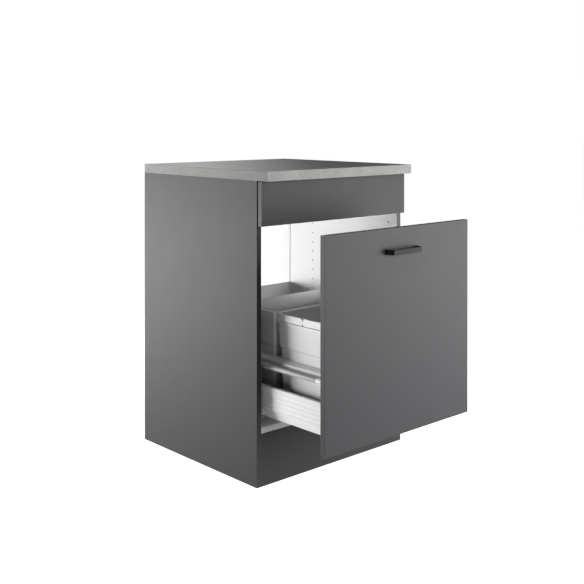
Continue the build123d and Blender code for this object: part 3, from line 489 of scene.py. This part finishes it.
def moulded(name, colour, base_roughness, step_shaded=False):
    """Moulded plastic with a fine eroded texture and faint flow marks. On a bin's wall it can paint shade
    in a band just under the step.
    """
    grain = bpy.context.scene.cabinet_grain
    material, nodes = new_material(name)
    place = nodes.place()
    spark = nodes.noise(place, grain.spark, 2.0, 0.7)
    flow = nodes.noise(nodes.scaled(place, (1.0, 1.0, 0.4)), grain.flow, 3.0)
    rubbed = nodes.noise(place, grain.rub, 3.0, 0.6)
    tone = 1.0 + flow.swing(0.04) + spark.swing(0.05)
    # Painted shade: the wall just under the bin's step is darkened, fading out downwards, where the step's
    # ledge would shade it
    if step_shaded:
        height = nodes.split(place)[2]
        faded = nodes.clamp((grain.step_shade_height - height) * (1.0 / grain.step_shade_fade))
        tone = tone - (height < grain.step_shade_height) * (1.0 - faded) * STEP_SHADE_DARKNESS
    roughness = base_roughness + rubbed.swing(0.1) + spark.swing(0.1)
    nodes.surface(nodes.shade(rgba(colour), tone), roughness, nodes.bump(spark, grain.spark_depth))
    return material


def plated(name, colour, base_roughness, flake):
    """Plated or cast metal with faint flakes and fine scratches. Flake is the size of a flake."""
    grain = bpy.context.scene.cabinet_grain
    material, nodes = new_material(name)
    place = nodes.place()
    flakes = nodes.split(nodes.cells(place, flake, "Color"))[0]
    scratches = nodes.noise(nodes.scaled(place, (6.0, 1.0, 1.0)), grain.scratch, 3.0)
    colour = nodes.shade(rgba(colour), 0.94 + flakes * 0.1)
    roughness = base_roughness + flakes.swing(0.12) + scratches.swing(0.15)
    nodes.surface(colour, roughness, nodes.bump(scratches, grain.scratch_depth), Metallic=1.0)
    return material


def wood_finish():
    """Straight-grained beech with small dark flecks."""
    scene = bpy.context.scene
    colours, grain = scene.cabinet_colours, scene.cabinet_grain
    material, nodes = new_material("beech_dowel")
    place = nodes.scaled(nodes.place(), (0.15, 1.0, 1.0))
    fibres = nodes.noise(place, grain.wood_grain, 4.0, 0.6)
    flecks = nodes.noise(place, grain.wood_fleck, 2.0) > 0.66
    colour = nodes.shade(rgba(colours.beech), 0.8 + fibres * 0.35 - flecks * 0.2)
    nodes.surface(colour, 0.6 + fibres.swing(0.1), nodes.bump(fibres, grain.wood_depth))
    return material


class CABINET_OT_carcass(bpy.types.Operator):
    """Dresses the side panels, the bottom, the plinth and the rails"""

    bl_idname = "cabinet.carcass"
    bl_label = "Carcass boards"

    def execute(self, context):
        colours = context.scene.cabinet_colours
        dark, white = colours.graphite, colours.white
        board("left_side_board", "side_panel_left", 0, dark, white)
        board("right_side_board", "side_panel_right", 0, white, dark)
        board("bottom_board", "bottom_panel", 2, white, white)
        board("plinth_board", "plinth_panel", 1, dark, dark)
        board("front_rail_board", "front_rail", 1, white, white)
        board("rear_rail_board", "rear_rail", 1, white, white)
        dress(back_panel_finish(), "back_panel")
        return {"FINISHED"}


class CABINET_OT_worktop(bpy.types.Operator):
    """Dresses the worktop and its edge band"""

    bl_idname = "cabinet.worktop"
    bl_label = "Worktop"

    def execute(self, context):
        dress(worktop_finish(), "worktop_board")
        dress(worktop_band_finish(), "worktop_edging")
        return {"FINISHED"}


class CABINET_OT_fronts(bpy.types.Operator):
    """Dresses the apron and the pull-out front"""

    bl_idname = "cabinet.fronts"
    bl_label = "Fronts"

    def execute(self, context):
        dark = context.scene.cabinet_colours.graphite
        board("apron_board", "apron_panel", 1, dark, dark, banded=True)
        board("front_board", "pullout_front", 1, dark, dark, banded=True)
        return {"FINISHED"}


class CABINET_OT_edge_bands(bpy.types.Operator):
    """Dresses the edge bands of the boards"""

    bl_idname = "cabinet.edge_bands"
    bl_label = "Edge bands"

    def execute(self, context):
        colours = context.scene.cabinet_colours
        band = edge_band("graphite_band", colours.graphite)
        dress(band, "side_edging", "apron_edging", "pullout_edging")
        dress(edge_band("white_band", colours.white), "bottom_edging")
        return {"FINISHED"}


class CABINET_OT_handle(bpy.types.Operator):
    """Dresses the handle"""

    bl_idname = "cabinet.handle"
    bl_label = "Handle"

    def execute(self, context):
        colour = context.scene.cabinet_colours.handle
        dress(powder_coat("handle_coat", colour, base_roughness=0.5, gloss=0.09), "handle")
        return {"FINISHED"}


class CABINET_OT_drawer(bpy.types.Operator):
    """Dresses the drawer: its sides, bottom, back, brackets and gallery rails"""

    bl_idname = "cabinet.drawer"
    bl_label = "Drawer"

    def execute(self, context):
        colours = context.scene.cabinet_colours
        coat = powder_coat("drawer_coat", colours.coated_white, base_roughness=0.5, gloss=0.25)
        dress(coat, "drawer_side_left", "drawer_side_right", "rear_brackets")
        board("drawer_bottom_board", "drawer_bottom", 2, colours.white, colours.white)
        board("drawer_back_board", "drawer_back", 1, colours.white, colours.white)
        coat = powder_coat("rail_coat", colours.tube, base_roughness=0.48)
        dress(coat, "gallery_rail_left", "gallery_rail_right")
        dress(moulded("sleeve_nylon", colours.nylon_white, base_roughness=0.4), "rail_connectors")
        return {"FINISHED"}


class CABINET_OT_runners(bpy.types.Operator):
    """Dresses the runners, the rollers and their axles"""

    bl_idname = "cabinet.runners"
    bl_label = "Runners and rollers"

    def execute(self, context):
        colours = context.scene.cabinet_colours
        coat = powder_coat("runner_coat", colours.coated_grey, base_roughness=0.38)
        dress(coat, "runner_left", "runner_right", "frame_ledge")
        rollers = [f"{end}_roller_{side}" for end in ("front", "rear") for side in ("left", "right")]
        dress(moulded("roller_nylon", colours.nylon_white, base_roughness=0.35), *rollers)
        zinc = plated("axle_zinc", colours.zinc, base_roughness=0.3, flake=0.002)
        dress(zinc, "front_roller_axles", "rear_roller_axles")
        return {"FINISHED"}


class CABINET_OT_bins(bpy.types.Operator):
    """Dresses the bins, their carrying bows and the frame that holds them"""

    bl_idname = "cabinet.bins"
    bl_label = "Bins and frame"

    def execute(self, context):
        colours = context.scene.cabinet_colours
        # The bins' plastic has painted shade on the wall under the step
        plastic = moulded("bin_plastic", colours.plastic, base_roughness=0.42, step_shaded=True)
        dress(plastic, "front_bin", "rear_bin")
        bows = [f"{one}_bin_{end}_bow" for one in ("front", "rear") for end in ("front", "rear")]
        dress(moulded("bow_plastic", colours.plastic, base_roughness=0.4), *bows)
        dress(moulded("frame_plastic", colours.plastic, base_roughness=0.44), "bin_frame")
        # Painted shade: the stops are black so that they look like the dark, shaded notch under each seam
        # between the bows
        nylon = moulded("stop_nylon", colours.nylon_black_and_notch_shade, base_roughness=0.5)
        dress(nylon, "front_bin_bow_stops", "rear_bin_bow_stops")
        return {"FINISHED"}


class CABINET_OT_fittings(bpy.types.Operator):
    """Dresses the screws, cams, dowels, brackets, spacers and bumpers"""

    bl_idname = "cabinet.fittings"
    bl_label = "Fittings"

    def execute(self, context):
        colours = context.scene.cabinet_colours
        screws = [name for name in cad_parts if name.endswith("_screws")]
        zinc = plated("screw_zinc", colours.zinc, base_roughness=0.32, flake=0.0015)
        dress(zinc, "cam_bolts", *screws)
        zinc = plated("bracket_zinc", colours.zinc, base_roughness=0.36, flake=0.004)
        dress(zinc, "worktop_brackets", "front_brackets")
        dress(plated("cam_casting", colours.casting, base_roughness=0.5, flake=0.0012), "cam_locks")
        dress(wood_finish(), "dowels")
        dress(moulded("spacer_nylon", colours.nylon_black_and_notch_shade, base_roughness=0.5), "apron_spacers")
        dress(moulded("bumper_rubber", colours.rubber, base_roughness=0.6), "front_bumpers")
        return {"FINISHED"}


def soft_lamp(name, azimuth, distance, height, aim, size, power):
    """A soft lamp round the cabinet's front. Azimuth 0 is on the +X side and 90 degrees behind it."""
    data = bpy.data.lights.new(name, "AREA")
    data.shape = "RECTANGLE"
    data.size, data.size_y = size
    data.energy = power
    lamp = bpy.data.objects.new(name, data)
    bpy.context.scene.collection.objects.link(lamp)
    out = Vector((math.cos(azimuth), math.sin(azimuth), 0.0)) * distance
    lamp.location = out + Vector((0.0, 0.0, height))
    target = Vector((0.0, 0.0, aim))
    lamp.rotation_euler = (target - lamp.location).to_track_quat("-Z", "Y").to_euler()


class CABINET_OT_stage(bpy.types.Operator):
    """Adds the floor, the white studio, the lamps and the camera"""

    bl_idname = "cabinet.stage"
    bl_label = "Studio"

    def execute(self, context):
        scene = context.scene
        setup = scene.cabinet_stage
        self.add_floor(scene, setup)
        self.add_studio(scene, setup)
        self.add_lamps(setup)
        self.add_camera(scene, setup)
        scene.view_settings.view_transform = "Standard"
        return {"FINISHED"}

    def add_floor(self, scene, setup):
        """A pale floor that adds a full white glow where the camera or a reflection sees it, so that it
        looks white there even in shadow.
        """
        mesh = bpy.data.meshes.new("floor")
        outline = bmesh.new()
        reach = setup.floor_reach
        signs = ((-1, -1), (1, -1), (1, 1), (-1, 1))
        corners = [outline.verts.new((x * reach, y * reach, 0.0)) for x, y in signs]
        outline.faces.new(corners)
        outline.to_mesh(mesh)
        outline.free()
        floor = bpy.data.objects.new("floor", mesh)
        floor.location.z = -setup.floor_gap
        scene.collection.objects.link(floor)
        material, nodes = new_material("pale_floor")
        dust = nodes.noise(nodes.place(), setup.floor_dust, 3.0)
        tone = nodes.shade(rgba(setup.floor), 1.0 + dust.swing(0.02))
        lit = nodes.add("ShaderNodeBsdfDiffuse", None, {"Color": tone})
        glow = nodes.add("ShaderNodeEmission", None, {"Strength": 1.0})
        glowing = nodes.add("ShaderNodeAddShader", None, {0: lit, 1: glow})
        shader = nodes.add("ShaderNodeMixShader", None, {0: self.seen(nodes, 1.0), 1: lit, 2: glowing})
        nodes.add("ShaderNodeOutputMaterial", None, {"Surface": shader})
        mesh.materials.append(material)

    def add_studio(self, scene, setup):
        """White surroundings that light nothing. Reflections show them up to the dim heading."""
        world = bpy.data.worlds.new("studio")
        scene.world = world
        nodes = Nodes(world)
        towards = nodes.split(nodes.add("ShaderNodeTexCoord"))
        aside = towards[0] * math.cos(setup.dim_heading) - towards[1] * math.sin(setup.dim_heading)
        seen = self.seen(nodes, nodes.clamp(0.0 - aside * setup.dim_edge))
        dark = nodes.add("ShaderNodeBackground", None, {"Strength": 0.0})
        white = nodes.add("ShaderNodeBackground", None, {"Color": (1.0, 1.0, 1.0, 1.0), "Strength": 1.0})
        shader = nodes.add("ShaderNodeMixShader", None, {0: seen, 1: dark, 2: white})
        nodes.add("ShaderNodeOutputWorld", None, {"Surface": shader})

    def add_lamps(self, setup):
        """Three standing lamps and one overhead."""
        measures = ("azimuth", "height", "width", "tall", "power")
        for side in ("left", "right", "front"):
            azimuth, height, width, tall, power = [getattr(setup, f"{side}_{one}") for one in measures]
            soft_lamp(f"{side}_lamp", azimuth, setup.lamp_distance, height, height, (width, tall), power)
        face = (setup.top_width, setup.top_width)
        above = (setup.top_azimuth, setup.top_distance, setup.top_height, setup.top_aim)
        soft_lamp("top_lamp", *above, face, setup.top_power)

    def add_camera(self, scene, setup):
        """A level camera. The shift moves its picture down, so that uprights stay upright."""
        data = bpy.data.cameras.new("camera")
        data.sensor_fit = "HORIZONTAL"
        data.sensor_width = setup.sensor
        data.lens = setup.lens
        data.shift_y = setup.shift
        camera = bpy.data.objects.new("camera", data)
        camera.location = setup.camera_place
        camera.rotation_euler = (math.radians(90), 0.0, -setup.heading)
        scene.collection.objects.link(camera)
        scene.camera = camera

    @staticmethod
    def seen(nodes, in_gloss):
        """1 on rays from the camera and through glass, and a share on rays from gloss."""
        paths = nodes.add("ShaderNodeLightPath").socket.node.outputs
        kinds = ("Is Camera Ray", "Is Transmission Ray", "Is Glossy Ray")
        camera, glass, gloss = [Wire(nodes, paths[kind]) for kind in kinds]
        return nodes.clamp(camera + glass + gloss * in_gloss)


OPERATORS = (
    CABINET_OT_carcass,
    CABINET_OT_worktop,
    CABINET_OT_fronts,
    CABINET_OT_edge_bands,
    CABINET_OT_handle,
    CABINET_OT_drawer,
    CABINET_OT_runners,
    CABINET_OT_bins,
    CABINET_OT_fittings,
    CABINET_OT_stage,
)


class CABINET_PT_panel(bpy.types.Panel):
    """Lists the cabinet's pieces, sizes and colours"""

    bl_idname = "CABINET_PT_panel"
    bl_label = "Sink base cabinet"
    bl_space_type = "VIEW_3D"
    bl_region_type = "UI"
    bl_category = "Cabinet"

    def draw(self, context):
        column = self.layout.column()
        for operator in OPERATORS:
            column.operator(operator.bl_idname)
        scene = context.scene
        for group in (scene.cabinet_colours, scene.cabinet_grain, scene.cabinet_stage):
            box = self.layout.box()
            for name in group.__annotations__:
                box.prop(group, name)


CLASSES = (CabinetColours, CabinetGrain, StageSetup, *OPERATORS, CABINET_PT_panel)


def register():
    """Registers the classes and hangs the settings on the scene."""
    for kind in CLASSES:
        bpy.utils.register_class(kind)
    bpy.types.Scene.cabinet_colours = PointerProperty(type=CabinetColours)
    bpy.types.Scene.cabinet_grain = PointerProperty(type=CabinetGrain)
    bpy.types.Scene.cabinet_stage = PointerProperty(type=StageSetup)


def unregister():
    """Takes the settings and the classes away again."""
    del bpy.types.Scene.cabinet_stage
    del bpy.types.Scene.cabinet_grain
    del bpy.types.Scene.cabinet_colours
    for kind in reversed(CLASSES):
        bpy.utils.unregister_class(kind)


def main():
    """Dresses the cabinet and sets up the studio."""
    register()
    for operator in OPERATORS:
        group, name = operator.bl_idname.split(".")
        getattr(getattr(bpy.ops, group), name)()


if __name__ == "__main__":
    main()
